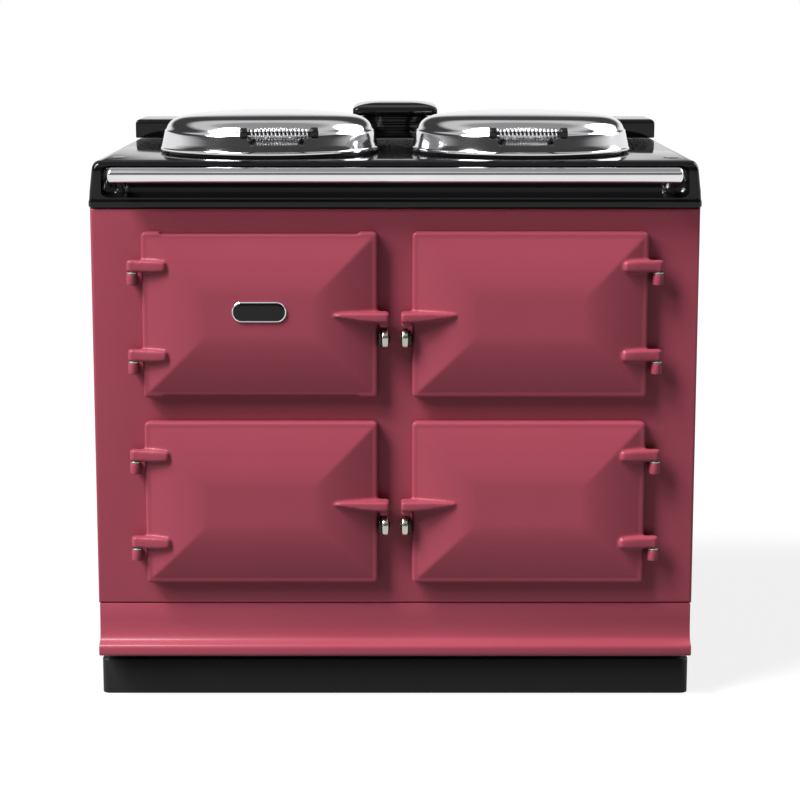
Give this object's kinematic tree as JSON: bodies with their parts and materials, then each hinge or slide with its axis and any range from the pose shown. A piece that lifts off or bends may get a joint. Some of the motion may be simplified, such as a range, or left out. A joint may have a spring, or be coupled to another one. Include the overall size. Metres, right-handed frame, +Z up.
{
  "type": "cast iron range cooker",
  "caption": "Cast iron range cooker with hinged enamelled doors, domed hotplate lids, spring handles, handrail and plinth.",
  "frame": {"origin": "centre of the bounding box's base, on the floor", "axes": "+X to the right seen from the front, -Y to the front, +Z up"},
  "size_m": [0.987, 0.74, 0.962],
  "materials": {
    "enamel": "gloss vitreous enamel",
    "black_enamel": "gloss black vitreous enamel",
    "satin_black": "satin black paint",
    "chrome": "polished chrome",
    "cast_iron": "machined cast iron",
    "steel": "plain steel",
    "oven_enamel": "dark oven enamel on iron"
  },
  "bodies": {
    "casing": {"plinth": "satin_black", "base_plate": "cast_iron", "foot_front_left": "steel", "foot_front_right": "steel", "foot_rear_left": "steel", "foot_rear_right": "steel", "base_moulding": "enamel", "front_panel": "enamel", "side_panel_left": "enamel", "side_panel_right": "enamel", "back_panel": "steel", "top_plate": "black_enamel", "rear_upstand": "black_enamel", "vent_stack": "black_enamel", "vent_cap": "black_enamel", "handrail": "chrome", "hotplate_left": "cast_iron", "hotplate_right": "cast_iron", "lid_hinge_left": "chrome", "lid_hinge_right": "chrome", "roasting_oven": "oven_enamel", "roasting_shelf": "steel", "baking_oven": "oven_enamel", "baking_shelf": "steel", "simmering_oven": "oven_enamel", "simmering_shelf": "steel", "control_box": "oven_enamel", "hinge_pin_upper_left_top": "steel", "hinge_pin_upper_left_bottom": "steel", "catch_bracket_upper_left": "satin_black", "hinge_pin_upper_right_top": "steel", "hinge_pin_upper_right_bottom": "steel", "catch_bracket_upper_right": "satin_black", "hinge_pin_lower_left_top": "steel", "hinge_pin_lower_left_bottom": "steel", "catch_bracket_lower_left": "satin_black", "hinge_pin_lower_right_top": "steel", "hinge_pin_lower_right_bottom": "steel", "catch_bracket_lower_right": "satin_black"},
    "upper_left_door": {"door_upper_left": "enamel", "name_plate": "black_enamel"},
    "upper_left_wheel": {"catch_wheel_upper_left": "chrome"},
    "upper_right_door": {"door_upper_right": "enamel", "door_plug_upper_right": "steel"},
    "upper_right_wheel": {"catch_wheel_upper_right": "chrome"},
    "lower_left_door": {"door_lower_left": "enamel", "door_plug_lower_left": "steel"},
    "lower_left_wheel": {"catch_wheel_lower_left": "chrome"},
    "lower_right_door": {"door_lower_right": "enamel", "door_plug_lower_right": "steel"},
    "lower_right_wheel": {"catch_wheel_lower_right": "chrome"},
    "knob_1": {"control_knob_1": "satin_black"},
    "knob_2": {"control_knob_2": "satin_black"},
    "knob_3": {"control_knob_3": "satin_black"},
    "left_lid": {"lid_left": "chrome", "lid_handle_left": "satin_black", "lid_spring_left": "chrome"},
    "right_lid": {"lid_right": "chrome", "lid_handle_right": "satin_black", "lid_spring_right": "chrome"}
  },
  "joints": [
    {"name": "upper_left_door_hinge", "type": "hinge", "parent": "casing", "child": "upper_left_door", "pos_m": [-0.422, -0.3455, 0.645], "axis": [0, 0, -1], "range_deg": [0, 130]},
    {"name": "upper_left_wheel_spin", "type": "hinge", "parent": "casing", "child": "upper_left_wheel", "pos_m": [-0.016, -0.3475, 0.608], "axis": [1, 0, 0], "continuous": true},
    {"name": "upper_right_door_hinge", "type": "hinge", "parent": "casing", "child": "upper_right_door", "pos_m": [0.422, -0.3455, 0.645], "axis": [0, 0, 1], "range_deg": [0, 130]},
    {"name": "upper_right_wheel_spin", "type": "hinge", "parent": "casing", "child": "upper_right_wheel", "pos_m": [0.016, -0.3475, 0.608], "axis": [1, 0, 0], "continuous": true},
    {"name": "lower_left_door_hinge", "type": "hinge", "parent": "casing", "child": "lower_left_door", "pos_m": [-0.422, -0.3455, 0.335], "axis": [0, 0, -1], "range_deg": [0, 130]},
    {"name": "lower_left_wheel_spin", "type": "hinge", "parent": "casing", "child": "lower_left_wheel", "pos_m": [-0.016, -0.3475, 0.298], "axis": [1, 0, 0], "continuous": true},
    {"name": "lower_right_door_hinge", "type": "hinge", "parent": "casing", "child": "lower_right_door", "pos_m": [0.422, -0.3455, 0.335], "axis": [0, 0, 1], "range_deg": [0, 130]},
    {"name": "lower_right_wheel_spin", "type": "hinge", "parent": "casing", "child": "lower_right_wheel", "pos_m": [0.016, -0.3475, 0.298], "axis": [1, 0, 0], "continuous": true},
    {"name": "knob_1_turn", "type": "hinge", "parent": "casing", "child": "knob_1", "pos_m": [-0.3015, -0.2155, 0.645], "axis": [0, 1, 0], "range_deg": [0, 270]},
    {"name": "knob_2_turn", "type": "hinge", "parent": "casing", "child": "knob_2", "pos_m": [-0.2175, -0.2155, 0.645], "axis": [0, 1, 0], "range_deg": [0, 270]},
    {"name": "knob_3_turn", "type": "hinge", "parent": "casing", "child": "knob_3", "pos_m": [-0.1335, -0.2155, 0.645], "axis": [0, 1, 0], "range_deg": [0, 270]},
    {"name": "left_lid_hinge", "type": "hinge", "parent": "casing", "child": "left_lid", "pos_m": [-0.214, 0.122, 0.922], "axis": [-1, 0, 0], "range_deg": [0, 95]},
    {"name": "right_lid_hinge", "type": "hinge", "parent": "casing", "child": "right_lid", "pos_m": [0.214, 0.122, 0.922], "axis": [-1, 0, 0], "range_deg": [0, 95]}
  ]
}
